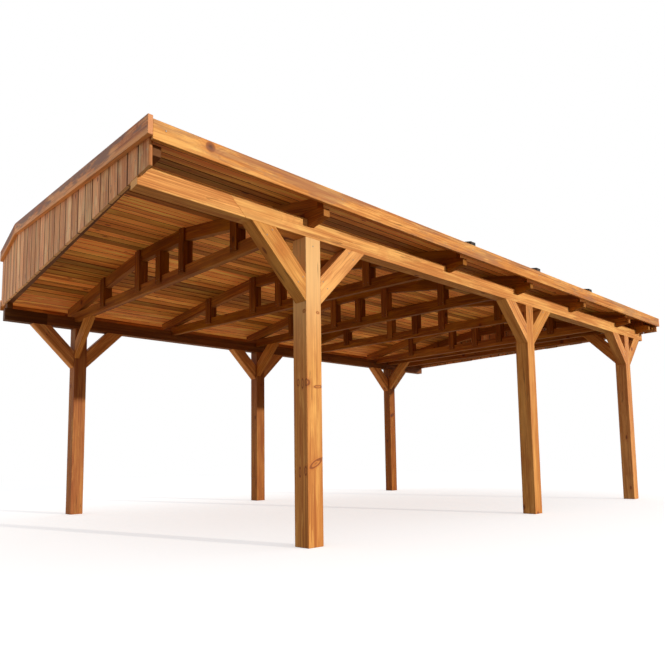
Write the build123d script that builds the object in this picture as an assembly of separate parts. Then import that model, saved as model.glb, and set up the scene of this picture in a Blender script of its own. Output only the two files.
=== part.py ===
from build123d import *
import os

# An open timber carport: six posts with knee braces, two wall plates, five bow
# trusses and a rear one, a boarded bow-shaped roof, and a boarded panel on each end.
# Millimetres. +X to the right, +Y to the rear, +Z up. The pieces are drawn from the right
# middle post and saved with the origin on the ground below the middle of the roof.

# Posts and plates
post_size = 145
post_run_front = 3186       # right middle post to right front post
post_run_rear = 2694        # right middle post to right rear post
front_stagger = 82          # left front post stands behind the right one by this much
middle_stagger = -365       # left middle post stands in front of the right one
frame_width = 4420          # over the outer faces of the posts
plate_bottom = 2230
plate_height = 135
plate_thickness = 115
brace_width = 145
brace_thickness = 115
brace_legs = [482, 412, 402]  # front, middle and rear: post's corner to the brace's outer edge
cross_brace_leg = 450

# Trusses
chord_thickness = 60
lower_chord_height = 110
upper_chord_height = 120
notch_depth = 55            # how far the lower chords sit into the plates
notch_clearance = 1
tail_length = 175           # lower chord beyond the plate
tail_rise = 32              # how far the tail is cut up from below
tail_drop = 18              # and down from above
upper_chord_reach = 110     # upper chord beyond the plate
upright_width = 92
upright_thickness = 20
upright_foot = 40           # uprights stop short of the lower chord's underside by this much
inner_joint = 440           # distance of the inner uprights from the middle
outer_joint = 1285          # distance of the outer uprights from the middle
rear_truss_gap = 390        # behind the rear posts

# Each truss's middle over the left and the right row of posts. They run a little askew.
truss_ends = [(-3150, -3205), (-1836, -1495), (-406, -260), (684, 990), (2340, 2365)]

# Roof
crown_height = 475          # crown of the deck's underside above the lower chord's underside
shoulder_height = 360
eave_height = 168
deck_thickness = 25
felt_thickness = 4
fascia_thickness = 25
fascia_height = 118
fascia_lip = 17             # fascia above the deck
eave_margin = 45            # deck edge beyond the tails
batten_width = 75
batten_height = 58
batten_offset = 75          # behind the truss below

# End panels. Both ends run a little askew to the posts.
front_overhang = 1347       # right post's front face to the panel's face
front_skew = 0.141          # run back for each unit to the left
rear_overhang = 490
rear_skew = 0.085
panel_thickness = 22
panel_beam_thickness = 60
panel_beam_height = 65
front_beam_low_right = 2341
front_beam_low_left = 2434
front_panel_low_right = 2270
front_panel_low_left = 2430
front_barge_right = 2538
front_barge_peak = 3150
front_barge_left = 3080
front_peak_place = -1500
front_panel_left_end = -2370
front_panel_right_end = 2408
rear_panel_low = 2330
barge_height = 115
barge_thickness = 32

# Worked-out places
post_rows = {
    -1: [front_stagger - post_run_front, middle_stagger, post_run_rear],
    1: [-post_run_front, 0, post_run_rear],
}
rear_truss_place = post_run_rear + rear_truss_gap
rear_tie_place = post_run_rear - post_size / 2 + chord_thickness / 2
post_x = (frame_width - post_size) / 2
outer_face = frame_width / 2
plate_x = outer_face - plate_thickness / 2
plate_inner = outer_face - plate_thickness
post_inner = outer_face - post_size
chord_bottom = plate_bottom + plate_height - notch_depth
chord_top = chord_bottom + lower_chord_height
tail_end = outer_face + tail_length
deck_edge = tail_end + eave_margin
chord_reach = outer_face + upper_chord_reach
roof_edge = deck_edge + fascia_thickness
eave_z = chord_bottom + eave_height
front_line = -post_run_front - post_size / 2 - front_overhang
rear_line = post_run_rear + post_size / 2 + rear_overhang
roof_reach = 2 * (post_run_front + front_overhang)
front_reach = front_line - barge_thickness
rear_reach = rear_line + rear_skew * 2 * roof_edge + barge_thickness
roof_middle = (front_reach + rear_reach) / 2

# The deck's underside, from the left eave to the right eave
bow = [
    (-deck_edge, eave_z),
    (-outer_joint, chord_bottom + shoulder_height),
    (-inner_joint, chord_bottom + crown_height),
    (inner_joint, chord_bottom + crown_height),
    (outer_joint, chord_bottom + shoulder_height),
    (deck_edge, eave_z),
]


def bow_z(x):
    """Height of the deck's underside at x."""
    for (x0, z0), (x1, z1) in zip(bow, bow[1:]):
        if x0 <= x <= x1:
            return z0 + (z1 - z0) * (x - x0) / (x1 - x0)
    return eave_z


def run_between(left, right):
    """Y along a straight line, from its place over the left posts to that over the right ones."""
    return lambda x: left + (right - left) * (x + post_x) / (2 * post_x)


def front_y(x):
    """Front face of the front panel at x."""
    return front_line + front_skew * (roof_edge - x)


def rear_y(x):
    """Rear face of the rear panel at x."""
    return rear_line + rear_skew * (roof_edge - x)


def block(x0, x1, y0, y1, z0, z1):
    """A box between two corners."""
    middle = ((x0 + x1) / 2, (y0 + y1) / 2, (z0 + z1) / 2)
    return Pos(*middle) * Box(x1 - x0, y1 - y0, z1 - z0)


def prism_xz(points, y0, y1):
    """An outline in X and Z, extruded from y0 to y1."""
    face = make_face(Polyline(*[(x, y0, z) for x, z in points], close=True))
    return extrude(face, amount=y1 - y0, dir=(0, 1, 0))


def prism_xy(points, z0, z1):
    """An outline in X and Y, extruded from z0 to z1."""
    face = make_face(Polyline(*[(x, y, z0) for x, y in points], close=True))
    return extrude(face, amount=z1 - z0, dir=(0, 0, 1))


def prism_yz(points, x0, x1):
    """An outline in Y and Z, extruded from x0 to x1."""
    face = make_face(Polyline(*[(x0, y, z) for y, z in points], close=True))
    return extrude(face, amount=x1 - x0, dir=(1, 0, 0))


def band(x0, x1, line, near, far, z0=0, z1=2 * plate_bottom):
    """A slab of wall that follows an end line, from near to far behind it."""
    corners = [
        (x0, line(x0) + near),
        (x1, line(x1) + near),
        (x1, line(x1) + far),
        (x0, line(x0) + far),
    ]
    return prism_xy(corners, z0, z1)


def along(outline, line, near=-chord_thickness / 2, far=chord_thickness / 2):
    """An outline in X and Z, as thick as a chord, that follows a truss."""
    return prism_xz(outline, -roof_reach, roof_reach) & band(-roof_edge, roof_edge, line, near, far)


def plan_between(x0, x1, inset=panel_thickness):
    """Everything between the backs of the two end panels, or between their faces."""
    corners = [
        (x0, front_y(x0) + inset),
        (x1, front_y(x1) + inset),
        (x1, rear_y(x1) - inset),
        (x0, rear_y(x0) - inset),
    ]
    return prism_xy(corners, 0, 2 * plate_bottom)


def save(shape, name):
    """Write a node's solids, moved so that the origin lies below the middle of the roof."""
    solids = shape if isinstance(shape, list) else [shape]
    moved = [Pos(0, -roof_middle, 0) * solid for solid in solids]
    export_step(moved[0] if len(moved) == 1 else Compound(children=moved), "parts/" + name + ".step")


# Posts: square, with plain ends, standing on the ground
def post(side, row):
    stick = Box(post_size, post_size, plate_bottom)
    return Pos(side * post_x, post_rows[side][row], plate_bottom / 2) * stick


# Wall plates: notched for each lower chord and each panel, cut to the slant of the ends
def plate(side):
    x0, x1 = sorted((side * plate_inner, side * outer_face))
    bar = block(x0, x1, -roof_reach, roof_reach, plate_bottom, plate_bottom + plate_height)
    bar = bar & plan_between(x0 - 1, x1 + 1, 0)
    half = chord_thickness / 2 + notch_clearance
    for line in truss_lines:
        bar -= band(x0 - 1, x1 + 1, line, -half, half, chord_bottom, chord_top)
    bar -= front_room(x0 - 1, x1 + 1, panel_thickness, panel_low, plate_height)
    bar -= front_room(x0 - 1, x1 + 1, panel_thickness + panel_beam_thickness, beam_low, plate_height)
    return bar - rear_room(x0 - 1, x1 + 1, panel_thickness, rear_panel_low, plate_height)


# Knee braces: two along the plate and one across to the truss
def brace_outline(corner, foot, leg, out):
    """Slanting bar from the post up and out to the timber above, square to neither."""
    cut = brace_width * 2 ** 0.5
    return [
        (corner, foot - leg),
        (corner + out * leg, foot),
        (corner + out * (leg - cut), foot),
        (corner, foot - leg + cut),
    ]


def braces(side, row):
    """The right middle post has no truss over it, and so no brace across."""
    x0, x1 = sorted((side * outer_face, side * (outer_face - brace_thickness)))
    pieces = []
    for out in (-1, 1):
        corner = post_rows[side][row] + out * post_size / 2
        pieces.append(prism_yz(brace_outline(corner, plate_bottom, brace_legs[row], out), x0, x1))
    line = cross_lines[row]
    if abs(line(side * post_x) - post_rows[side][row]) < post_size / 2:
        pieces.append(along(brace_outline(side * post_inner, chord_bottom, cross_brace_leg, -side), line))
    return pieces


# Trusses: a straight lower chord with cut-up tails, and an upper chord in five lengths
def lower_chord(line):
    outline = [
        (-tail_end, chord_bottom + tail_rise),
        (-outer_face, chord_bottom),
        (outer_face, chord_bottom),
        (tail_end, chord_bottom + tail_rise),
        (tail_end, chord_top - tail_drop),
        (chord_reach, chord_top),
        (-chord_reach, chord_top),
        (-tail_end, chord_top - tail_drop),
    ]
    return along(outline, line)


def upper_chord(line):
    low = [(x, bow_z(x) - upper_chord_height) for x in (-inner_joint, inner_joint)]
    shoulder = bow_z(outer_joint) - upper_chord_height
    outline = (
        [(-chord_reach, chord_top), (-chord_reach, bow_z(-chord_reach))]
        + bow[1:-1]
        + [(chord_reach, bow_z(chord_reach)), (chord_reach, chord_top)]
        + [(chord_meet, chord_top), (outer_joint, shoulder)]
        + low[::-1]
        + [(-outer_joint, shoulder), (-chord_meet, chord_top)]
    )
    return along(outline, line)


# Uprights: a stud between the chords with a plank nailed over it on each face
def upright(line, x):
    """The middle one stops under the upper chord."""
    drop = upper_chord_height if x == 0 else 0
    foot = chord_bottom + upright_foot
    x0 = x - upright_width / 2
    x1 = x + upright_width / 2
    outline = [(x0, foot), (x1, foot), (x1, bow_z(x1) - drop), (x, bow_z(x) - drop), (x0, bow_z(x0) - drop)]
    reach = chord_thickness / 2 + upright_thickness
    return along(outline, line, -reach, reach) - lower_chord(line) - upper_chord(line)


def uprights(line):
    return [upright(line, x) for x in (-outer_joint, -inner_joint, 0, inner_joint, outer_joint)]


# Roof deck, in five flats that meet over the truss joints
def roof_sheet(x0, x1, low, thickness):
    outline = [
        (x0, bow_z(x0) + low),
        (x1, bow_z(x1) + low),
        (x1, bow_z(x1) + low + thickness),
        (x0, bow_z(x0) + low + thickness),
    ]
    return prism_xz(outline, -roof_reach, roof_reach)


def roof_skin(low, thickness):
    top = [(x, z + low + thickness) for x, z in bow]
    outline = [(x, z + low) for x, z in bow] + top[::-1]
    return prism_xz(outline, -roof_reach, roof_reach)


def fascia(side):
    x0, x1 = sorted((side * deck_edge, side * roof_edge))
    top = eave_z + deck_thickness + fascia_lip
    corners = [
        (x0, front_y(x0)),
        (x1, front_y(x1)),
        (x1, rear_y(x1)),
        (x0, rear_y(x0)),
    ]
    return prism_xy(corners, top - fascia_height, top)


# Front panel: upright boards under two straight barge boards, higher at the left
def leftward(x, right, left):
    """A height that goes evenly from the right eave to the panel's left end."""
    return right + (left - right) * (roof_edge - x) / (roof_edge - front_panel_left_end)


def panel_low(x):
    return leftward(x, front_panel_low_right, front_panel_low_left)


def beam_low(x):
    return leftward(x, front_beam_low_right, front_beam_low_left)


def barge_top(x):
    if x >= front_peak_place:
        run = (roof_edge - x) / (roof_edge - front_peak_place)
        return front_barge_right + (front_barge_peak - front_barge_right) * run
    run = (front_peak_place - x) / (front_peak_place - front_panel_left_end)
    return front_barge_peak + (front_barge_left - front_barge_peak) * run


def front_room(x0, x1, thickness, low, height):
    """A strip along the front panel, in from its face, between a lower line and a height over it."""
    outline = [
        (x0, low(x0)),
        (x1, low(x1)),
        (x1, low(x1) + height),
        (x0, low(x0) + height),
    ]
    return band(x0, x1, front_y, 0, thickness) & prism_xz(outline, -roof_reach, 0)


def rear_room(x0, x1, thickness, low, height):
    """A strip along the rear panel, in from its face, between two heights."""
    return band(x0, x1, rear_y, -thickness, 0, low, low + height)


def front_panel():
    reveal = 15
    outline = [
        (front_panel_left_end, panel_low(front_panel_left_end)),
        (front_panel_right_end, panel_low(front_panel_right_end)),
        (front_panel_right_end, barge_top(front_panel_right_end) - reveal),
        (front_peak_place, front_barge_peak - reveal),
        (front_panel_left_end, front_barge_left - reveal),
    ]
    wall = band(front_panel_left_end, front_panel_right_end, front_y, 0, panel_thickness)
    return wall & prism_xz(outline, -roof_reach, 0)


def front_panel_beam():
    """The beam, cut to the roof at its high end, with a packer up from the left plate."""
    depth = panel_thickness + panel_beam_thickness
    beam = front_room(-outer_face, tail_end, depth, beam_low, panel_beam_height)
    beam -= band(-deck_edge, deck_edge, front_y, -1, panel_thickness)
    beam = beam & prism_xz([(-deck_edge, 0), (deck_edge, 0)] + bow[::-1], -roof_reach, 0)
    packer_foot = plate_bottom + plate_height
    packer_top = beam_low(-plate_x) + 5
    return beam + band(-outer_face, -plate_inner, front_y, panel_thickness, depth, packer_foot, packer_top)


def rear_panel_beam():
    """The beam lies on the plates' ends."""
    depth = panel_thickness + panel_beam_thickness
    beam = rear_room(-tail_end, tail_end, depth, plate_bottom + plate_height, panel_beam_height)
    return beam - band(-deck_edge, deck_edge, rear_y, -panel_thickness, 1)


def front_barge(x0, x1):
    outline = [
        (x0, barge_top(x0) - barge_height),
        (x1, barge_top(x1) - barge_height),
        (x1, barge_top(x1)),
        (x0, barge_top(x0)),
    ]
    wall = band(x0, x1, front_y, -barge_thickness, 0)
    return wall & prism_xz(outline, -roof_reach, 0)


# Rear panel: upright boards under barge boards that follow the roof
def rear_panel():
    cover = deck_thickness + felt_thickness
    top = [(x, z + cover) for x, z in bow]
    outline = [(-deck_edge, rear_panel_low), (deck_edge, rear_panel_low)] + top[::-1]
    wall = band(-deck_edge, deck_edge, rear_y, -panel_thickness, 0)
    return wall & prism_xz(outline, 0, roof_reach)


def rear_barge():
    top = [(x, z + deck_thickness + fascia_lip) for x, z in bow]
    top[0] = (-roof_edge, top[0][1])
    top[-1] = (roof_edge, top[-1][1])
    outline = [(x, z - barge_height) for x, z in top] + top[::-1]
    wall = band(-roof_edge, roof_edge, rear_y, 0, barge_thickness)
    return wall & prism_xz(outline, 0, roof_reach)


# Where the upper chord's underside lands on the lower chord
slope = (bow_z(outer_joint) - eave_z) / (deck_edge - outer_joint)
chord_meet = outer_joint + (bow_z(outer_joint) - upper_chord_height - chord_top) / slope

truss_lines = [run_between(left, right) for left, right in truss_ends]
truss_lines.append(run_between(rear_truss_place, rear_truss_place))
cross_lines = [truss_lines[0], truss_lines[2], run_between(rear_tie_place, rear_tie_place)]
batten_lines = truss_lines[1:4]

os.makedirs("parts", exist_ok=True)
side_names = {-1: "left", 1: "right"}
row_names = ["front", "middle", "rear"]

for side, side_name in side_names.items():
    for row, row_name in enumerate(row_names):
        save(post(side, row), "post_" + row_name + "_" + side_name)
        save(braces(side, row), "braces_" + row_name + "_" + side_name)
    save(plate(side), "plate_" + side_name)
    save(fascia(side), "fascia_" + side_name)

truss_names = ["truss_1", "truss_2", "truss_3", "truss_4", "truss_5", "truss_rear"]
for name, line in zip(truss_names, truss_lines):
    save(lower_chord(line), name + "_lower_chord")
    save(upper_chord(line), name + "_upper_chord")
    save(uprights(line), name + "_uprights")

tie_near = rear_tie_place - chord_thickness / 2
tie_far = rear_tie_place + chord_thickness / 2
save(block(-plate_inner, plate_inner, tie_near, tie_far, chord_bottom, chord_top), "rear_tie_beam")

deck_names = ["deck_left", "deck_left_shoulder", "deck_crown", "deck_right_shoulder", "deck_right"]
for name, (x0, _), (x1, _) in zip(deck_names, bow, bow[1:]):
    save(roof_sheet(x0, x1, 0, deck_thickness) & plan_between(x0 - 1, x1 + 1), name)
save(roof_skin(deck_thickness, felt_thickness) & plan_between(-deck_edge, deck_edge), "roof_felt")

batten_low = deck_thickness + felt_thickness
battens = []
for line in batten_lines:
    near = batten_offset - batten_width / 2
    strip = band(-deck_edge, deck_edge, line, near, near + batten_width)
    battens.append(roof_skin(batten_low, batten_height) & strip)
save(battens, "roof_battens")

save(front_panel(), "front_panel")
save(front_panel_beam(), "front_panel_beam")
save(front_barge(front_peak_place, roof_edge), "front_barge_right")
save(front_barge(front_panel_left_end, front_peak_place), "front_barge_left")
save(rear_panel(), "rear_panel")
save(rear_panel_beam(), "rear_panel_beam")
save(rear_barge(), "rear_barge")
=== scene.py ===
import math
import random
from collections import namedtuple

import bmesh
import bpy
from mathutils import Matrix, Vector


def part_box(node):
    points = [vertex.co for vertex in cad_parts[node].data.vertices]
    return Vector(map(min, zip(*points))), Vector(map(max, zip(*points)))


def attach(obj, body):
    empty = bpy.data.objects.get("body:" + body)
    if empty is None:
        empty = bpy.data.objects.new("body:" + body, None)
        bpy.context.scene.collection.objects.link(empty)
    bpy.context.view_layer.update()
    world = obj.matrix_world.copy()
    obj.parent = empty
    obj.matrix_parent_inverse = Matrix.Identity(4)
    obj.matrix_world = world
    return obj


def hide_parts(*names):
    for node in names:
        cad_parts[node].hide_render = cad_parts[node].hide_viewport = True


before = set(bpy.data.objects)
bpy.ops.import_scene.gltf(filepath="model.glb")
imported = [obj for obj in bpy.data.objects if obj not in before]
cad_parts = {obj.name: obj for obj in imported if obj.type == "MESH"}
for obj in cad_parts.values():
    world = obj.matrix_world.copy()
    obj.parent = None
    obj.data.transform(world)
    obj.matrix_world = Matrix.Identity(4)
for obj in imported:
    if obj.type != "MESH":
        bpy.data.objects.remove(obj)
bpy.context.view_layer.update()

# Light and ground. A low warm sun from the right and a plain pale sky, over a pale floor that
# keeps the carport's shadow. The light that the ground throws back up is brighter on the left
# and duller on the right. The camera stands low, outside the front right corner.
scene = bpy.context.scene
scene.view_settings.view_transform = "Standard"


def look(yaw, pitch, roll):
    """A camera's axes from its heading, its tilt up and its roll."""
    ahead = Vector((math.sin(yaw) * math.cos(pitch), math.cos(yaw) * math.cos(pitch),
                    math.sin(pitch)))
    right = Vector((math.cos(yaw), -math.sin(yaw), 0))
    up = right.cross(ahead)
    right_rolled = right * math.cos(roll) + up * math.sin(roll)
    up_rolled = up * math.cos(roll) - right * math.sin(roll)
    return Matrix((right_rolled, up_rolled, -ahead)).transposed()


post_low, post_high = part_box("post_middle_right")
post_row_y = (post_low.y + post_high.y) / 2
camera = bpy.data.objects.new("camera", bpy.data.cameras.new("camera"))
camera.data.sensor_width = 36
camera.data.lens = 34.315
camera.data.shift_x = -0.01165
camera.data.shift_y = 0.0859
camera.data.clip_end = 300
camera.matrix_world = look(yaw=-0.78705, pitch=0.10508, roll=-0.015585).to_4x4()
camera.location = (5.5443, post_row_y - 6.2489, 0.6313)
scene.collection.objects.link(camera)
scene.camera = camera


def feed(tree, node, inputs):
    """Sets a node's inputs. Each is given a value, or another node's output to link."""
    for socket, value in inputs.items():
        if isinstance(value, bpy.types.NodeSocket):
            tree.links.new(value, node.inputs[socket])
        else:
            node.inputs[socket].default_value = value


def add(tree, kind, inputs=None, **settings):
    """Adds a node to a tree, sets it up, and returns its outputs."""
    made = tree.nodes.new(kind)
    for key, value in settings.items():
        setattr(made, key, value)
    feed(tree, made, inputs or {})
    return made.outputs


world = bpy.data.worlds.new("pale_sky")
scene.world = world
world.use_nodes = True
sky = world.node_tree
sky.nodes.clear()
sky_rays = add(sky, "ShaderNodeLightPath")
sky_any = add(sky, "ShaderNodeMath", {0: sky_rays["Is Camera Ray"], 1: sky_rays["Is Glossy Ray"]},
              operation="MAXIMUM")[0]
sky_any = add(sky, "ShaderNodeMath", {0: sky_any, 1: sky_rays["Is Transmission Ray"]},
              operation="MAXIMUM")[0]
sky_light = add(sky, "ShaderNodeBackground", {"Color": (0.96, 0.97, 1.0, 1), "Strength": 0.66})[0]
sky_seen = add(sky, "ShaderNodeBackground", {"Color": (1, 1, 1, 1), "Strength": 1.0})[0]
sky_mix = add(sky, "ShaderNodeMixShader", {0: sky_any, 1: sky_light, 2: sky_seen})[0]
add(sky, "ShaderNodeOutputWorld", {"Surface": sky_mix})

sun = bpy.data.objects.new("sun", bpy.data.lights.new("sun", "SUN"))
sun.data.energy = 2.72
sun.data.angle = math.radians(1.2)
sun.data.color = (1.0, 0.90, 0.78)
sun_from = Vector((1.0, 0.26, 0.205)).normalized()
sun.matrix_world = sun_from.to_track_quat("Z", "Y").to_matrix().to_4x4()
scene.collection.objects.link(sun)


def new_material(name):
    """A new material, its node tree and its shader."""
    material = bpy.data.materials.new(name)
    material.use_nodes = True
    return material, material.node_tree, material.node_tree.nodes["Principled BSDF"]


floor_reach = 90
floor_drop = 0.001
floor_seen_colour = (0.75, 0.75, 0.75, 1)
floor_seen_lift = 0.52
thrown_left, thrown_right = (0.84, 0.66, 0.46, 1), (0.22, 0.18, 0.11, 1)
thrown_from_x, thrown_to_x = -2.2, 3.0
fade_from, fade_to = 6, 16

floor_mesh = bpy.data.meshes.new("floor")
floor_shape = bmesh.new()
bmesh.ops.create_circle(floor_shape, cap_ends=True, segments=96, radius=floor_reach)
floor_shape.to_mesh(floor_mesh)
floor_shape.free()
floor = bpy.data.objects.new("floor", floor_mesh)
floor.location.z = -floor_drop
scene.collection.objects.link(floor)

floor_paint, ground, floor_shader = new_material("pale_floor")
floor_seen = add(ground, "ShaderNodeLightPath")["Is Camera Ray"]
floor_place = add(ground, "ShaderNodeTexCoord")["Object"]
floor_x = add(ground, "ShaderNodeSeparateXYZ", {0: floor_place})["X"]
floor_side = add(ground, "ShaderNodeMapRange", {
    "Value": floor_x, "From Min": thrown_from_x, "From Max": thrown_to_x})["Result"]
floor_thrown = add(ground, "ShaderNodeMix", {0: floor_side, 6: thrown_left, 7: thrown_right},
                   data_type="RGBA")[2]
floor_colour = add(ground, "ShaderNodeMix", {0: floor_seen, 6: floor_thrown, 7: floor_seen_colour},
                   data_type="RGBA")[2]
floor_lift = add(ground, "ShaderNodeMath", {0: floor_seen, 1: floor_seen_lift},
                 operation="MULTIPLY")[0]
feed(ground, floor_shader, {
    "Base Color": floor_colour, "Roughness": 0.95, "Specular IOR Level": 0.0,
    "Emission Color": (1, 1, 1, 1), "Emission Strength": floor_lift})
floor_away = add(ground, "ShaderNodeVectorMath", {0: floor_place}, operation="LENGTH")["Value"]
floor_fade = add(ground, "ShaderNodeMapRange", {
    "Value": floor_away, "From Min": fade_from, "From Max": fade_to})["Result"]
floor_white = add(ground, "ShaderNodeMath", {0: floor_fade, 1: floor_seen}, operation="MULTIPLY")[0]
floor_glow = add(ground, "ShaderNodeEmission")[0]
floor_mix = add(ground, "ShaderNodeMixShader", {
    0: floor_white, 1: floor_shader.outputs[0], 2: floor_glow})[0]
feed(ground, ground.nodes["Material Output"], {"Surface": floor_mix})
floor_mesh.materials.append(floor_paint)


# Posts. Six square sticks of boxed-heart softwood on plain square ends, sawn and lightly planed,
# with eased edges, knots and a few drying splits. The right front one is paler towards its top
# and has knots at set heights. The left ones are painted darker, as painted shade.
def softwood(name, light, dark, knot_share=0.45, weather=0.0, streaks=0.7, seams=0.35, spread=0.2,
             knots=(), pale_from=None, bright_edge=None):
    """Sawn softwood that follows each stick's own grain, with rings, streaks, knots and splits.

    knots are placed ones, each a middle and half sizes, measured along, across and into the
    stick, and a lean. pale_from is the stretch along the stick over which it turns pale.
    bright_edge is the stretch down a board over which its lower edge turns bright.
    """
    material, tree, shader = new_material(name)

    def node(kind, inputs=None, **settings):
        return add(tree, "ShaderNode" + kind, inputs, **settings)

    def calc(operation, first, second=0.0):
        return node("Math", {0: first, 1: second}, operation=operation)[0]

    def times(first, second):
        return calc("MULTIPLY", first, second)

    def plus(first, second):
        return calc("ADD", first, second)

    def larger(first, second):
        return calc("MAXIMUM", first, second)

    def off(value, middle):
        return calc("ABSOLUTE", calc("SUBTRACT", value, middle))

    def length(vector):
        return node("VectorMath", {0: vector}, operation="LENGTH")["Value"]

    def stretched(scale, shift=(0, 0, 0)):
        moved = node("VectorMath", {0: grain, 1: shift}, operation="SUBTRACT")[0]
        return node("VectorMath", {0: moved, 1: scale}, operation="MULTIPLY")[0]

    def noise(scale, detail=2.0, roughness=0.5):
        return node("TexNoise", {"Vector": stretched(scale), "Scale": 1.0, "Detail": detail,
                                 "Roughness": roughness})["Fac"]

    def ramp(value, low, high, low_out=0.0, high_out=1.0):
        return node("MapRange", {"Value": value, "From Min": low, "From Max": high,
                                 "To Min": low_out, "To Max": high_out},
                    interpolation_type="SMOOTHSTEP")["Result"]

    def mix(factor, first, second):
        return node("Mix", {0: factor, 6: first, 7: second}, data_type="RGBA")[2]

    def shade(colour, red, green, blue):
        shaded = [min(1.0, part * by) for part, by in zip(colour, (red, green, blue))]
        return (*shaded, 1)

    def ring_lines(distance, pitch):
        pitch_at_scale_one = 0.314
        place = node("CombineXYZ", {0: distance})[0]
        return node("TexWave", {"Vector": place, "Scale": pitch_at_scale_one / pitch,
                                "Distortion": 0.0},
                    wave_type="BANDS", bands_direction="X", wave_profile="SAW")["Fac"]

    grain = node("Attribute", attribute_name="grain")["Vector"]
    tone, end, painted_joint_shade = [node("Attribute", attribute_name=part)["Fac"]
                        for part in ("tone", "end", "painted_joint_shade")]

    cells = node("TexVoronoi", {"Vector": stretched((3.9, 8.5, 4.2)), "Scale": 1.0,
                                "Randomness": 0.9}, feature="F1")
    chance = node("SeparateColor", {0: cells["Color"]})[0]
    is_knot = calc("LESS_THAN", chance, knot_share)
    near_knot, knot, knot_heart = [
        times(ramp(cells["Distance"], outer, inner), is_knot)
        for outer, inner in ((0.45, 0.05), (0.16, 0.10), (0.10, 0.02))]
    for middle, half_sizes, lean in knots:
        parts = node("SeparateXYZ", {0: stretched([1 / size for size in half_sizes], middle)})
        leaning = plus(parts[0], times(parts[2], lean))
        away = length(node("CombineXYZ", {0: leaning, 1: parts[1], 2: parts[2]})[0])
        near_knot = larger(near_knot, ramp(away, 2.2, 1.1))
        knot = larger(knot, ramp(off(away, 1.0), 0.34, 0.10))
        knot_heart = larger(knot_heart, ramp(away, 0.4, 0.1, 0.0, 0.5))

    ring_pitch, end_ring_pitch = 0.012, 0.006
    distance = plus(length(stretched((0.0, 1.0, 1.0))), times(noise((0.5, 2.5, 2.5)), 0.12))
    distance = plus(distance, times(near_knot, 0.022))
    rings = ring_lines(distance, ring_pitch)
    streak = noise((1.2, 60.0, 60.0), 5.0, 0.68)
    seam = noise((0.35, 34.0, 34.0), 4.0, 0.62)
    line = noise((0.5, 115.0, 115.0), 2.0, 0.55)
    broad = noise((0.8, 14.0, 14.0), 2.0)
    fine = noise((6.0, 420.0, 420.0), 2.0, 0.6)
    cloud = noise((0.9, 4.5, 4.5), 3.0, 0.55)
    figure = noise((2.4, 26.0, 26.0), 4.0, 0.62)

    late_wood = shade(dark, 0.74, 0.58, 0.46)
    seam_brown = shade(late_wood, 0.6, 0.5, 0.45)
    line_brown = shade(late_wood, 0.75, 0.62, 0.6)
    pale = shade(light, 1.24, 1.52, 1.75)
    base = mix(ramp(broad, 0.34, 0.68), light, dark)
    # Each row is a pattern, where it starts and where it is full, how far it covers, its colour.
    for pattern, start, full, cover, colour in (
            (streak, 0.48, 0.60, streaks, late_wood),
            (seam, 0.52, 0.66, seams, seam_brown),
            (rings, 0.45, 1.0, 0.5, late_wood),
            (line, 0.54, 0.60, 0.55, line_brown),
            (cloud, 0.46, 0.74, 0.55, pale),
            (figure, 0.54, 0.62, 0.42, late_wood),
            (figure, 0.45, 0.36, 0.40, pale),
            (fine, 0.4, 0.72, 0.16, late_wood)):
        base = mix(times(ramp(pattern, start, full), cover), base, colour)
    if pale_from:
        along = node("SeparateXYZ", {0: grain})[0]
        base = mix(ramp(along, *pale_from, 0.0, 0.8), base, (0.86, 0.54, 0.23, 1))
    for amount, cover, colour in (
            (near_knot, 0.6, shade(light, 0.74, 0.54, 0.45)),
            (knot, 0.92, shade(light, 0.34, 0.21, 0.20)),
            (knot_heart, 0.75, (0.085, 0.032, 0.014, 1))):
        base = mix(times(amount, cover), base, colour)
    if weather:
        stain = ramp(noise((1.6, 11.0, 11.0), 5.0, 0.68), 0.45, 0.57, 0.0, weather)
        base = mix(stain, base, (0.235, 0.115, 0.080, 1))
    if bright_edge:
        down = node("SeparateXYZ", {0: grain})[2]
        edge = ramp(plus(down, times(broad, 0.05)), *bright_edge, 0.0, 0.8)
        clear_of_streaks = ramp(streak, 0.62, 0.48, 0.45, 1.0)
        base = mix(times(edge, clear_of_streaks), base, shade(light, 1.12, 1.2, 1.1))

    split_line = ramp(off(noise((0.9, 24.0, 24.0), 1.0), 0.5), 0.012, 0.003)
    split = times(split_line, ramp(noise((1.3, 5.0, 5.0), 1.0), 0.56, 0.64))
    base = mix(times(split, 0.5), base, (0.05, 0.025, 0.012, 1))
    end_wood = mix(ring_lines(distance, end_ring_pitch), shade(light, 1.15, 1.3, 1.6),
                   shade(dark, 0.75, 0.65, 0.55))
    base = mix(end, base, end_wood)
    # Faces that meet a neighbouring board go near black: painted shade for the shade in the joints.
    base = mix(times(painted_joint_shade, 0.88), base, (0.022, 0.011, 0.006, 1))
    toned = node("HueSaturation", {
        "Color": base, "Value": ramp(tone, 0.0, 1.0, 1.0 - spread, 1.0 + spread),
        "Saturation": ramp(tone, 0.0, 1.0, 1.04, 0.96)})["Color"]

    relief = plus(times(streak, 0.6), times(fine, 0.35))
    relief = plus(relief, times(knot, 0.5))
    relief = calc("SUBTRACT", relief, times(split, 2.0))
    bump = node("Bump", {"Height": relief, "Strength": 0.6, "Distance": 0.0025})["Normal"]
    feed(tree, shader, {
        "Base Color": toned, "Roughness": plus(times(fine, 0.2), 0.56),
        "Specular IOR Level": 0.28, "Normal": bump})
    return material


def saw(shape, point, normal):
    """Cuts every stick that a plane crosses in two, and closes both ends."""
    everything = shape.verts[:] + shape.edges[:] + shape.faces[:]
    cut = bmesh.ops.bisect_plane(shape, geom=everything, plane_co=point, plane_no=normal,
                                 dist=0.00001)
    crossed = [part for part in cut["geom_cut"] if isinstance(part, bmesh.types.BMEdge)]
    bmesh.ops.split_edges(shape, edges=crossed)
    open_edges = [edge for edge in shape.edges if edge.is_boundary]
    bmesh.ops.holes_fill(shape, edges=open_edges, sides=0)
    bmesh.ops.recalc_face_normals(shape, faces=shape.faces)


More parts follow.
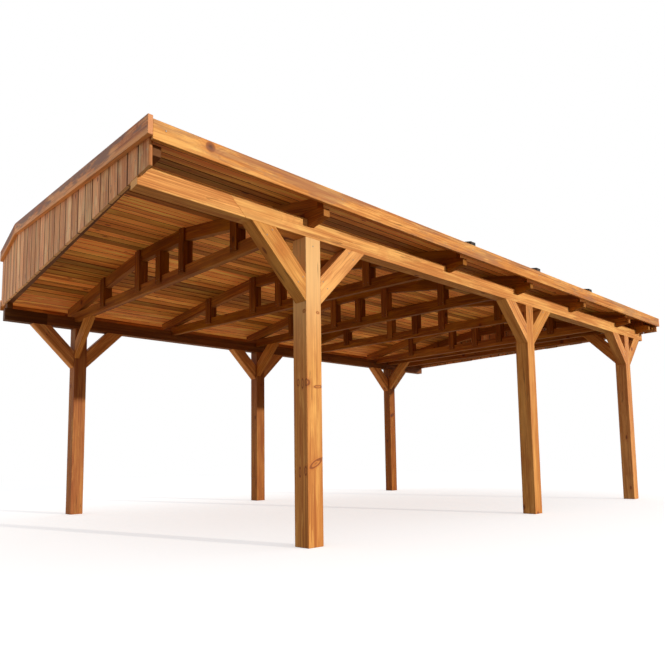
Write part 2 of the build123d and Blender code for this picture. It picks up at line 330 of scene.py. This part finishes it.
def separate(shape):
    """The corners of each stick in a mesh of several, sorted by where the sticks lie.

    The corners are walked in the mesh's own order, so that each run gives the same grain.
    """
    found = []
    seen = set()
    for first in shape.verts:
        if first in seen:
            continue
        seen.add(first)
        island, walk = [], [first]
        while walk:
            corner = walk.pop()
            island.append(corner)
            for edge in corner.link_edges:
                other = edge.other_vert(corner)
                if other not in seen:
                    seen.add(other)
                    walk.append(other)
        found.append(island)

    def middle(island):
        return [round(sum(corner.co[axis] for corner in island) / len(island), 3)
                for axis in (0, 1, 2)]

    return sorted(found, key=middle)


def timber_mesh(cad_name):
    """A node's mesh, merged and with flat faces whole."""
    shape = bmesh.new()
    shape.from_mesh(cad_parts[cad_name].data)
    bmesh.ops.remove_doubles(shape, verts=shape.verts, dist=0.0002)
    bmesh.ops.dissolve_limit(shape, angle_limit=math.radians(0.5), verts=shape.verts,
                             edges=shape.edges)
    return shape


def piece_from(shape, name, material, cad_name):
    """Turns a shape into the visible piece that stands in for a CAD node."""
    mesh = bpy.data.meshes.new(name)
    shape.to_mesh(mesh)
    shape.free()
    mesh.materials.append(material)
    piece = bpy.data.objects.new(name, mesh)
    scene.collection.objects.link(piece)
    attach(piece, "root")
    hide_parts(cad_name)


def sticks(cad_name, material, easing=0.004, along=None, cuts=(), tones=(0, 1),
           placed=False, flat=False):
    """Remakes a node's sticks with eased edges, and gives each its own grain, tone and end grain.

    along is the way the grain runs, and without it each stick's longest edge tells. placed
    measures the grain from near the stick's middle, and flat does so only down a board's face.
    """
    shape = timber_mesh(cad_name)
    for point, normal in cuts:
        saw(shape, point, normal)
    chance = random.Random("sticks of " + cad_name)
    sharp = [edge for edge in shape.edges
             if len(edge.link_faces) == 2 and edge.calc_face_angle(0) > 0.35]
    bmesh.ops.bevel(shape, geom=sharp, offset=easing, segments=2, profile=0.6, affect="EDGES",
                    clamp_overlap=True)
    grain = shape.verts.layers.float_vector.new("grain")
    tone = shape.faces.layers.float.new("tone")
    end = shape.faces.layers.float.new("end")
    for island in separate(shape):
        if along is None:
            longest = max((edge for corner in island for edge in corner.link_edges),
                          key=lambda edge: edge.calc_length())
            direction = (longest.verts[1].co - longest.verts[0].co).normalized()
        else:
            direction = Vector(along)
        helper = Vector((0, 0, 1)) if abs(direction.z) < 0.8 else Vector((0, 1, 0))
        side = direction.cross(helper).normalized()
        depth = direction.cross(side).normalized()
        centre = sum((corner.co for corner in island), Vector()) / len(island)
        if placed:
            start, heart = 0, (0.01, -0.015)
        else:
            start = chance.uniform(-20, 20)
            heart = (chance.uniform(-0.12, 0.12), chance.uniform(-0.10, 0.10))
        if flat:
            heart = (heart[0], 0)
        for corner in island:
            place = corner.co - centre
            corner[grain] = (place.dot(direction) + start, place.dot(side) + heart[0],
                             place.dot(depth) + heart[1])
        own_tone = chance.uniform(*tones)
        for face in {face for corner in island for face in corner.link_faces}:
            face[tone] = own_tone
            face[end] = 1.0 if abs(face.normal.dot(direction)) > 0.6 else 0.0
            face.smooth = False
    piece_from(shape, cad_name + "_timber", material, cad_name)


post_light = (0.73, 0.325, 0.076, 1)
post_dark = (0.59, 0.230, 0.047, 1)
post_wood = softwood("post_pine", post_light, post_dark, knot_share=0.6, spread=0.1)
# Where the near post's front and right faces lie in its own grain, and its knots on them.
front_face, right_face = 0.0575, -0.0625
post_knots = [
    ((0.045, -0.055, front_face), (0.024, 0.011, 0.03), 0.0),
    ((0.040, -0.015, front_face), (0.032, 0.010, 0.03), 0.0),
    ((0.050, 0.032, front_face), (0.022, 0.012, 0.03), 0.0),
    ((0.020, right_face, -0.050), (0.009, 0.03, 0.034), 0.3),
    ((-0.530, right_face, -0.020), (0.021, 0.03, 0.050), 1.1),
    ((-0.500, right_face, -0.062), (0.008, 0.03, 0.024), 0.9),
    ((-0.580, -0.040, front_face), (0.028, 0.012, 0.03), 0.0),
    ((-0.590, 0.020, front_face), (0.032, 0.010, 0.03), 0.0),
    ((0.565, -0.040, front_face), (0.010, 0.012, 0.03), 0.0),
    ((0.565, right_face, -0.055), (0.008, 0.03, 0.012), 0.0),
]
near_post_wood = softwood("near_post_pine", post_light, post_dark, knot_share=0.0,
                          knots=post_knots, pale_from=(0.1, 0.95))
# The left posts take the post wood made darker: painted shade for the shade they stand in.
painted_shade_left_post_wood = softwood("left_post_pine", (0.43, 0.160, 0.029, 1), (0.33, 0.106, 0.017, 1),
                          knot_share=0.6, spread=0.1)
for row in ("front", "middle", "rear"):
    sticks("post_%s_left" % row, painted_shade_left_post_wood, along=(0, 0, 1))
sticks("post_front_right", near_post_wood, along=(0, 0, 1), tones=(0.5, 0.5),
       placed=True)
sticks("post_middle_right", post_wood, along=(0, 0, 1))
sticks("post_rear_right", post_wood, along=(0, 0, 1))


# Wall plates: a heavy stick along the top of each row of posts, notched for the trusses. Each
# is two lengths, scarfed just before the right front brace and lapped near the left front end.
# The left one is painted darker, as painted shade.
plate_wood = softwood("plate_pine", (0.86, 0.425, 0.110, 1), (0.69, 0.300, 0.065, 1),
                      knot_share=0.4, spread=0.12)
# A darker copy of the plate wood: painted shade, for the left plate and the front panel's beam.
shaded_wood = softwood("shaded_plate_pine", (0.19, 0.064, 0.009, 1), (0.13, 0.040, 0.005, 1),
                       knot_share=0.3, spread=0.45)
plate_low, plate_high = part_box("plate_right")
scarf_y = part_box("braces_front_right")[0].y - 0.05
scarf = ((plate_high.x, scarf_y, plate_low.z), (0, 1, 1))
sticks("plate_right", plate_wood, along=(0, 1, 0), cuts=[scarf],
       tones=(0.45, 0.75))
lap_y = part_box("braces_front_left")[0].y + 0.16
lap = ((0, lap_y, 0), (0, 1, 0))
sticks("plate_left", shaded_wood, along=(0, 1, 0), cuts=[lap])


# Knee braces: square-ended bars at 45 degrees between post and plate, and across to the
# trusses. They are cut to the faces of both and held by long screws.
brace_wood = softwood("brace_pine", (0.78, 0.360, 0.090, 1), (0.61, 0.250, 0.052, 1),
                      knot_share=0.4, spread=0.12)
for row in ("front", "middle", "rear"):
    for side in ("left", "right"):
        sticks("braces_%s_%s" % (row, side), brace_wood)


# Trusses: a straight lower chord with cut-up tails, an upper chord in five straight lengths
# butted over the uprights, and uprights nailed over both. The rear row has a plain tie beam,
# and a beam backs the foot of each end panel.
truss_wood = softwood("truss_pine", (0.44, 0.155, 0.009, 1), (0.28, 0.087, 0.004, 1),
                      knot_share=0.35, seams=0.6)
# The uprights take the truss wood made darker: painted shade for the shade between the chords.
painted_shade_upright_wood = softwood("painted_shade_upright_pine", (0.36, 0.120, 0.008, 1), (0.23, 0.068, 0.004, 1),
                        knot_share=0.35, seams=0.6)
deck_nodes = ["deck_left", "deck_left_shoulder", "deck_crown", "deck_right_shoulder", "deck_right"]
joints = [((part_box(name)[1].x, 0, 0), (1, 0, 0)) for name in deck_nodes[:-1]]
truss_names = ["truss_1", "truss_2", "truss_3", "truss_4", "truss_5", "truss_rear"]
for truss in truss_names:
    sticks(truss + "_lower_chord", truss_wood, along=(1, 0, 0))
    sticks(truss + "_upper_chord", truss_wood, easing=0.003, cuts=joints)
    sticks(truss + "_uprights", painted_shade_upright_wood, easing=0.002, along=(0, 0, 1))
for beam in ("rear_tie_beam", "rear_panel_beam"):
    sticks(beam, truss_wood, along=(1, 0, 0))
# The front panel's beam takes the dark plate wood: painted shade for the deep shade under the
# panel.
sticks("front_panel_beam", shaded_wood, along=(1, 0, 0))


# Roof deck: sawn boards laid along the building in five flats, with open joints, nailed down
# to the upper chords. One board is repeated across each flat and drawn out to its corners.
def board_tree():
    """A board repeated across a run, made real, and fitted between the run's four corners."""
    tree = bpy.data.node_groups.new("boards_across_a_run", "GeometryNodeTree")
    sockets = [("Board", "Geometry"), ("Count", "Int"), ("Pitch", "Float"), ("Length", "Float"),
               ("Foot Start", "Vector"), ("Foot End", "Vector"), ("Head Start", "Vector"),
               ("Head End", "Vector"), ("Outward", "Vector"), ("Narrowest", "Float"),
               ("Uneven", "Float"), ("Seed", "Int"), ("Wood", "Material")]
    for name, kind in sockets:
        tree.interface.new_socket(name, in_out="INPUT", socket_type="NodeSocket" + kind)
    tree.interface.new_socket("Boards", in_out="OUTPUT", socket_type="NodeSocketGeometry")
    given = add(tree, "NodeGroupInput")
    seed = given["Seed"]

    def store(geometry, name, value, kind, domain):
        return add(tree, "GeometryNodeStoreNamedAttribute",
                   {"Geometry": geometry, "Name": name, "Value": value},
                   data_type=kind, domain=domain)["Geometry"]

    def named(name, kind):
        return add(tree, "GeometryNodeInputNamedAttribute", {"Name": name},
                   data_type=kind)["Attribute"]

    def between(start, finish, share):
        return add(tree, "ShaderNodeMix", {0: share, 4: start, 5: finish}, data_type="VECTOR")[1]

    def calc(operation, first, second):
        return add(tree, "ShaderNodeMath", {0: first, 1: second}, operation=operation)[0]

    def sum_of(first, second):
        return add(tree, "ShaderNodeVectorMath", {0: first, 1: second}, operation="ADD")[0]

    def joined(x, y, z):
        return add(tree, "ShaderNodeCombineXYZ", {"X": x, "Y": y, "Z": z})[0]

    step = joined(given["Pitch"], 0.0, 0.0)
    row = add(tree, "GeometryNodeMeshLine", {"Count": given["Count"], "Offset": step},
              mode="OFFSET")["Mesh"]
    width_share = add(tree, "FunctionNodeRandomValue", {
        2: given["Narrowest"], 3: 1.0, "Seed": seed}, data_type="FLOAT")[1]
    boards = add(tree, "GeometryNodeInstanceOnPoints", {
        "Points": row, "Instance": given["Board"], "Scale": joined(width_share, 1.0, 1.0)})
    tone = add(tree, "FunctionNodeRandomValue", {2: 0.0, 3: 1.0, "Seed": seed},
               data_type="FLOAT")[1]
    shift = add(tree, "FunctionNodeRandomValue", {
        0: (-30, -9, -0.1), 1: (30, 9, 0.1), "Seed": seed}, data_type="FLOAT_VECTOR")[0]
    boards = store(boards["Instances"], "tone", tone, "FLOAT", "INSTANCE")
    boards = store(boards, "shift", shift, "FLOAT_VECTOR", "INSTANCE")
    boards = add(tree, "GeometryNodeRealizeInstances", {"Geometry": boards})["Geometry"]

    # The boards are bent to the run's corners as one mesh, so they are made real first.
    place = add(tree, "GeometryNodeInputPosition")[0]
    parts = add(tree, "ShaderNodeSeparateXYZ", {0: place})
    lengthwise = joined(parts["Y"], parts["X"], parts["Z"])
    grain = sum_of(lengthwise, named("shift", "FLOAT_VECTOR"))
    boards = store(boards, "grain", grain, "FLOAT_VECTOR", "POINT")
    width = calc("MULTIPLY", given["Count"], given["Pitch"])
    across = calc("DIVIDE", parts["X"], width)
    up = calc("DIVIDE", parts["Y"], given["Length"])
    own_drop = calc("MULTIPLY", given["Uneven"], named("tone", "FLOAT"))
    drop = calc("MULTIPLY", own_drop, calc("SUBTRACT", 1.0, up))
    fitted = between(between(given["Foot Start"], given["Foot End"], across),
                     between(given["Head Start"], given["Head End"], across),
                     calc("ADD", up, drop))
    raised = add(tree, "ShaderNodeVectorMath", {0: given["Outward"], "Scale": parts["Z"]},
                 operation="SCALE")[0]
    boards = add(tree, "GeometryNodeSetPosition", {
        "Geometry": boards, "Position": sum_of(fitted, raised)})[0]
    boards = add(tree, "GeometryNodeSetMaterial", {
        "Geometry": boards, "Material": given["Wood"]})[0]
    add(tree, "NodeGroupOutput", {"Boards": boards})
    return tree


Edge = namedtuple("Edge", "x near far low high")


def outline_of(cad_name):
    """A sheet's edges from side to side, each with its x, its ends in y and its height."""
    columns = {}
    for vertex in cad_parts[cad_name].data.vertices:
        columns.setdefault(round(vertex.co.x, 3), []).append(vertex.co)
    return [Edge(x, min(c.y for c in corners), max(c.y for c in corners),
                 min(c.z for c in corners), max(c.z for c in corners))
            for x, corners in sorted(columns.items())]


def plain_mesh(piece, tree, settings):
    """Runs a node tree on a piece and keeps the result as its mesh."""
    modifier = piece.modifiers.new("made", "NODES")
    modifier.node_group = tree
    for item in tree.interface.items_tree:
        if item.in_out == "INPUT" and item.name in settings:
            modifier[item.identifier] = settings[item.name]
    known = bpy.context.evaluated_depsgraph_get()
    made = bpy.data.meshes.new_from_object(piece.evaluated_get(known), depsgraph=known,
                                           preserve_all_data_layers=True)
    piece.modifiers.clear()
    spare = piece.data
    piece.data = made
    bpy.data.meshes.remove(spare)


def boards(name, wood, count, corners, thickness, outward, gap, easing, narrowest, uneven=0.0,
           seed=0):
    """A run of boards between four corners: foot start, foot end, head start, head end."""
    foot_start, foot_end, head_start, head_end = [Vector(corner) for corner in corners]
    pitch = (foot_end - foot_start).length / count
    length = (head_start - foot_start).length
    shape = bmesh.new()
    bmesh.ops.create_cube(shape, size=1)
    size = Vector((pitch - gap, length, thickness))
    for corner in shape.verts:
        scaled = Vector([(corner.co[axis] + 0.5) * size[axis] for axis in (0, 1, 2)])
        corner.co = scaled + Vector((gap / 2, 0, 0))
    long_edges = [edge for edge in shape.edges
                  if abs(edge.verts[0].co.y - edge.verts[1].co.y) > length / 2]
    bmesh.ops.bevel(shape, geom=long_edges, offset=easing, segments=1, affect="EDGES")
    end = shape.faces.layers.float.new("end")
    painted_joint_shade = shape.faces.layers.float.new("painted_joint_shade")
    # Each face is marked where it is end grain, and by how far it faces the next board; that side
    # is later painted near black, painted shade for the shade in the joint.
    for face in shape.faces:
        face[end] = 1.0 if abs(face.normal.y) > 0.8 else 0.0
        face[painted_joint_shade] = min(1.0, abs(face.normal.x) * 1.2)
    mesh = bpy.data.meshes.new(name)
    shape.to_mesh(mesh)
    shape.free()
    piece = bpy.data.objects.new(name, mesh)
    scene.collection.objects.link(piece)
    plain_mesh(piece, run_of_boards, {
        "Count": count, "Pitch": pitch, "Length": length, "Foot Start": foot_start,
        "Foot End": foot_end, "Head Start": head_start, "Head End": head_end,
        "Outward": Vector(outward), "Narrowest": narrowest, "Uneven": uneven, "Seed": seed,
        "Wood": wood})
    return piece


run_of_boards = board_tree()
deck_wood = softwood("deck_pine", (1.0, 0.450, 0.088, 1), (0.80, 0.300, 0.046, 1),
                     knot_share=0.4, spread=0.55, streaks=0.9, seams=1.0)
deck_thickness = 0.025
deck_pitch = 0.105
for seed, name in enumerate(deck_nodes):
    left, right = outline_of(name)
    count = round(math.hypot(right.x - left.x, right.low - left.low) / deck_pitch)
    corners = [(left.x, left.near, left.low), (right.x, right.near, right.low),
               (left.x, left.far, left.low), (right.x, right.far, right.low)]
    deck = boards(name + "_boards", deck_wood, count, corners, deck_thickness, (0, 0, 1),
                  gap=0.003, easing=0.002, narrowest=0.92, seed=seed)
    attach(deck, "root")
    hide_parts(name)


# End panels: upright sawn boards with bevelled edges and uneven feet, nailed to the beam behind
# and to the barge boards. They have weathered paler and pinker than the frame.
panel_wood = softwood("panel_pine", (1.0, 0.53, 0.235, 1), (0.84, 0.385, 0.150, 1),
                      knot_share=0.3, spread=0.2, streaks=0.85, seams=0.9, weather=0.22)
panel_thickness = 0.022
panel_pitch = 0.19
panel_gap = 0.004
panel_unevenness = 0.012
first_panel_seed = 20


def panel_runs(cad_name):
    """The panel's straight-topped stretches, each from one edge to the next."""
    edges = outline_of(cad_name)
    first, last = edges[0], edges[-1]
    straight = []
    for edge in edges:
        foot = first.low + (last.low - first.low) * (edge.x - first.x) / (last.x - first.x)
        straight.append(Edge(edge.x, edge.near, edge.far, foot, edge.high))
    return list(zip(straight, straight[1:]))


def panel(cad_name, outward, easing):
    """One end's boards, run by run, joined into one piece."""
    shape = bmesh.new()
    for seed, (start, finish) in enumerate(panel_runs(cad_name)):
        if outward > 0:
            start, finish = finish, start
        count = max(1, round(abs(finish.x - start.x) / panel_pitch))
        corners = [(edge.x, edge.near if outward > 0 else edge.far, z)
                   for edge, z in ((start, start.low), (finish, finish.low),
                                   (start, start.high), (finish, finish.high))]
        run = boards("run", panel_wood, count, corners, panel_thickness, (0, outward, 0),
                     panel_gap, easing, narrowest=0.975, uneven=panel_unevenness,
                     seed=first_panel_seed + seed)
        shape.from_mesh(run.data)
        bpy.data.objects.remove(run)
    # The outer sides of the first and the last board face no other board, so they get no painted
    # joint shade and stay light.
    painted_joint_shade = shape.faces.layers.float["painted_joint_shade"]
    ends = [pick(corner.co.x for corner in shape.verts) for pick in (min, max)]
    for face in shape.faces:
        if any(abs(face.calc_center_median().x - x) < 0.008 for x in ends):
            face[painted_joint_shade] = 0
    piece_from(shape, cad_name + "_boards", panel_wood, cad_name)


panel("front_panel", -1, 0.007)
panel("rear_panel", 1, 0.004)


# Fascias and barge boards: planed boards that close the eaves and the ends. The fascias are
# nailed to the deck's edge. The barge boards stand proud of the panels, and are weathered, with
# a brighter strip along their lower edge.
fascia_wood = softwood("fascia_pine", (0.84, 0.405, 0.112, 1), (0.67, 0.275, 0.060, 1),
                       knot_share=0.5, spread=0.1, weather=0.45)
for side in ("left", "right"):
    sticks("fascia_" + side, fascia_wood, easing=0.003, along=(0, 1, 0))
barge_wood = softwood("barge_pine", (0.74, 0.31, 0.105, 1), (0.52, 0.18, 0.055, 1),
                      knot_share=0.5, spread=0.1, seams=0.6, weather=0.9,
                      bright_edge=(0.035, 0.075))
for barge, bends in (("front_barge_right", ()), ("front_barge_left", ()), ("rear_barge", joints)):
    sticks(barge, barge_wood, easing=0.003, cuts=bends, flat=True)


# Roof covering: strips of mineral felt laid along the roof from eave to crown, each lapped
# over the one below, and three battens across the roof, tarred black, that hold them down.
felt, felt_tree, felt_shader = new_material("mineral_felt")
felt_place = add(felt_tree, "ShaderNodeTexCoord")["Object"]
felt_grit = add(felt_tree, "ShaderNodeTexNoise", {"Vector": felt_place, "Scale": 420})["Fac"]
felt_stain = add(felt_tree, "ShaderNodeTexNoise", {
    "Vector": felt_place, "Scale": 1.6, "Detail": 5})["Fac"]
felt_grey = add(felt_tree, "ShaderNodeMix", {
    0: felt_grit, 6: (0.030, 0.031, 0.033, 1), 7: (0.125, 0.125, 0.122, 1)},
    data_type="RGBA")[2]
felt_patch = add(felt_tree, "ShaderNodeMapRange", {
    "Value": felt_stain, "From Min": 0.5, "From Max": 0.75, "To Max": 0.6})["Result"]
felt_worn = add(felt_tree, "ShaderNodeMix", {
    0: felt_patch, 6: felt_grey, 7: (0.105, 0.098, 0.084, 1)}, data_type="RGBA")[2]
felt_bump = add(felt_tree, "ShaderNodeBump", {
    "Height": felt_grit, "Strength": 0.7, "Distance": 0.002})["Normal"]
feed(felt_tree, felt_shader, {"Base Color": felt_worn, "Roughness": 0.92, "Normal": felt_bump})

deck_edges = [outline_of(name)[0] for name in deck_nodes] + [outline_of(deck_nodes[-1])[-1]]
roof_line = [Vector((edge.x, edge.near, edge.low + deck_thickness)) for edge in deck_edges]
rear_line = [edge.far for edge in deck_edges]


def on_roof(x, lift):
    """The front and the rear point of the roof's top at x, lifted by a little."""
    x = max(roof_line[0].x, min(roof_line[-1].x, x))
    index = 0
    while x > roof_line[index + 1].x + 0.00001:
        index += 1
    start, finish = roof_line[index:index + 2]
    start_rear, finish_rear = rear_line[index:index + 2]
    share = (x - start.x) / (finish.x - start.x)
    front = start.lerp(finish, share) + Vector((0, 0, lift))
    return front, Vector((x, start_rear + (finish_rear - start_rear) * share, front.z))


felt_thickness = 0.004
felt_lap = 0.10
lap_slope = 0.03
strip_edges = [-2.43, -1.55, -0.62, 0.62, 1.55, 2.43]
eave = strip_edges[-1]
felt_shape = bmesh.new()
for start, finish in zip(strip_edges, strip_edges[1:]):
    left_x = start - felt_lap if -eave < start < 0 else start
    right_x = finish + felt_lap if 0 < finish < eave else finish
    stops = {left_x, right_x} | {point.x for point in roof_line if left_x < point.x < right_x}
    if left_x < start:
        stops |= {start, start + lap_slope}
    if right_x > finish:
        stops |= {finish, finish - lap_slope}
    rows = []
    for x in sorted(stops):
        on_left_lap = left_x < start and x <= start
        on_right_lap = right_x > finish and x >= finish
        front, rear = on_roof(x, felt_thickness if on_left_lap or on_right_lap else 0.0)
        up = Vector((0, 0, felt_thickness))
        rows.append([felt_shape.verts.new(place) for place in (front, front + up, rear + up, rear)])
    for first, second in zip(rows, rows[1:]):
        for a, b in ((0, 1), (1, 2), (2, 3), (3, 0)):
            felt_shape.faces.new((first[a], first[b], second[b], second[a]))
    felt_shape.faces.new(rows[0])
    felt_shape.faces.new(rows[-1][::-1])
bmesh.ops.recalc_face_normals(felt_shape, faces=felt_shape.faces)
piece_from(felt_shape, "roof_felt_strips", felt, "roof_felt")

batten_wood = softwood("tarred_batten", (0.045, 0.036, 0.030, 1), (0.028, 0.022, 0.019, 1),
                       knot_share=0.2)
sticks("roof_battens", batten_wood, easing=0.003, along=(1, 0, 0))


# Fixings: zinc-plated screws through the ends of the braces, the tops of the posts and the
# fascias, and wire nails in the uprights and the end panels. Only their heads show.
def head_tree():
    """A low domed head on each point, facing the way the point's own direction says."""
    tree = bpy.data.node_groups.new("heads_on_points", "GeometryNodeTree")
    for name, kind in (("Points", "Geometry"), ("Radius", "Float"), ("Metal", "Material")):
        tree.interface.new_socket(name, in_out="INPUT", socket_type="NodeSocket" + kind)
    tree.interface.new_socket("Heads", in_out="OUTPUT", socket_type="NodeSocketGeometry")
    given = add(tree, "NodeGroupInput")
    dome = add(tree, "GeometryNodeMeshUVSphere", {
        "Segments": 10, "Rings": 6, "Radius": given["Radius"]})["Mesh"]
    low_dome = add(tree, "GeometryNodeTransform", {
        "Geometry": dome, "Scale": (1, 1, 0.45)})["Geometry"]
    facing = add(tree, "GeometryNodeInputNamedAttribute", {"Name": "facing"},
                 data_type="FLOAT_VECTOR")["Attribute"]
    turn = add(tree, "FunctionNodeAlignRotationToVector", {"Vector": facing}, axis="Z")["Rotation"]
    domes = add(tree, "GeometryNodeInstanceOnPoints", {
        "Points": given["Points"], "Instance": low_dome, "Rotation": turn})["Instances"]
    real = add(tree, "GeometryNodeRealizeInstances", {"Geometry": domes})["Geometry"]
    coated = add(tree, "GeometryNodeSetMaterial", {
        "Geometry": real, "Material": given["Metal"]})["Geometry"]
    add(tree, "NodeGroupOutput", {"Heads": coated})
    return tree


def heads(name, places, radius, metal):
    """Heads at places, each a point and the direction it faces."""
    mesh = bpy.data.meshes.new(name)
    mesh.from_pydata([point for point, _ in places], [], [])
    facing = mesh.attributes.new("facing", "FLOAT_VECTOR", "POINT")
    for index, (_, direction) in enumerate(places):
        facing.data[index].vector = direction
    piece = bpy.data.objects.new(name, mesh)
    scene.collection.objects.link(piece)
    plain_mesh(piece, domed_heads, {"Radius": radius, "Metal": metal})
    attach(piece, "root")


domed_heads = head_tree()
zinc, zinc_tree, zinc_shader = new_material("dulled_zinc")
zinc_place = add(zinc_tree, "ShaderNodeTexCoord")["Object"]
zinc_spots = add(zinc_tree, "ShaderNodeTexNoise", {"Vector": zinc_place, "Scale": 900})["Fac"]
zinc_colour = add(zinc_tree, "ShaderNodeMix", {
    0: zinc_spots, 6: (0.16, 0.13, 0.10, 1), 7: (0.42, 0.38, 0.33, 1)}, data_type="RGBA")[2]
zinc_rough = add(zinc_tree, "ShaderNodeMapRange", {
    "Value": zinc_spots, "To Min": 0.35, "To Max": 0.65})["Result"]
feed(zinc_tree, zinc_shader, {
    "Base Color": zinc_colour, "Metallic": 0.85, "Roughness": zinc_rough})

screw_radius = 0.0055
brace_width = 0.145
brace_end_margin = 0.07
brace_screw_side = 0.032
post_screw_drop = 0.06
fascia_near_margin, fascia_far_margin = 0.08, 0.06
fascia_screw_height = 0.6
half_cut = brace_width / math.sqrt(2)
end_step = brace_end_margin / math.sqrt(2)
screw_places = []
for side, outward in (("left", -1), ("right", 1)):
    out = Vector((outward, 0, 0))
    for row in ("front", "middle", "rear"):
        post_low, post_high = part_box("post_%s_%s" % (row, side))
        post_y = (post_low.y + post_high.y) / 2
        face_x = post_high.x if outward > 0 else post_low.x
        screw_places.append(((face_x, post_y, post_high.z - post_screw_drop), out))
        shape = timber_mesh("braces_%s_%s" % (row, side))
        for island in separate(shape):
            lows = [min(corner.co[axis] for corner in island) for axis in (0, 1, 2)]
            highs = [max(corner.co[axis] for corner in island) for axis in (0, 1, 2)]
            cross_brace = highs[1] - lows[1] < 0.1
            if cross_brace:
                continue
            away = 1 if (lows[1] + highs[1]) / 2 > post_y else -1
            inner_y, outer_y = (lows[1], highs[1]) if away > 0 else (highs[1], lows[1])
            for across in (-brace_screw_side, brace_screw_side):
                slide = across / math.sqrt(2)
                foot = (face_x, inner_y + away * (end_step - slide),
                        lows[2] + half_cut + end_step + slide)
                head = (face_x, outer_y - away * (half_cut + end_step + slide),
                        highs[2] - end_step + slide)
                screw_places += [(foot, out), (head, out)]
        shape.free()
    fascia_low, fascia_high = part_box("fascia_" + side)
    fascia_x = fascia_high.x if outward > 0 else fascia_low.x
    shape = timber_mesh("fascia_" + side)
    outer_ys = [corner.co.y for corner in shape.verts if abs(corner.co.x - fascia_x) < 0.001]
    shape.free()
    stops = [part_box(truss + "_lower_chord")[1].y for truss in truss_names]
    stops = [min(outer_ys) + fascia_near_margin] + stops + [max(outer_ys) - fascia_far_margin]
    screw_z = fascia_low.z + (fascia_high.z - fascia_low.z) * fascia_screw_height
    screw_places += [((fascia_x, y, screw_z), out) for y in stops]
heads("screws", screw_places, screw_radius, zinc)

nail_radius = 0.004
upright_half = 0.046
nail_inset = 0.025
nail_from_foot, nail_from_top = 0.03, 0.045
panel_nail_height = 0.105
nail_places = []
for truss in truss_names:
    shape = timber_mesh(truss + "_uprights")
    for island in separate(shape):
        middle = sum(corner.co.x for corner in island) / len(island)
        left_side = [corner.co for corner in island if corner.co.x < middle]
        right_side = [corner.co for corner in island if corner.co.x > middle]
        low = min(corner.co.z for corner in island)
        high = min(max(place.z for place in half) for half in (left_side, right_side))
        for pick, facing_y in ((min, -1), (max, 1)):
            for step, own, opposite in ((-nail_inset, left_side, right_side),
                                        (nail_inset, right_side, left_side)):
                own_y = pick(place.y for place in own)
                opposite_y = pick(place.y for place in opposite)
                y = own_y + (opposite_y - own_y) * (upright_half - nail_inset) / (2 * upright_half)
                for z in (low + nail_from_foot, high - nail_from_top):
                    nail_places.append(((middle + step, y, z), Vector((0, facing_y, 0))))
    shape.free()
for cad_name, outward in (("front_panel", -1), ("rear_panel", 1)):
    for start, finish in panel_runs(cad_name):
        count = max(1, round((finish.x - start.x) / panel_pitch))
        for index in range(count):
            for inset in (0.25, 0.75):
                share = (index + inset) / count
                at = Edge(*[a + (b - a) * share for a, b in zip(start, finish)])
                y = at.near if outward < 0 else at.far
                nail_places.append(((at.x, y, at.low + panel_nail_height), Vector((0, outward, 0))))
heads("nails", nail_places, nail_radius, zinc)
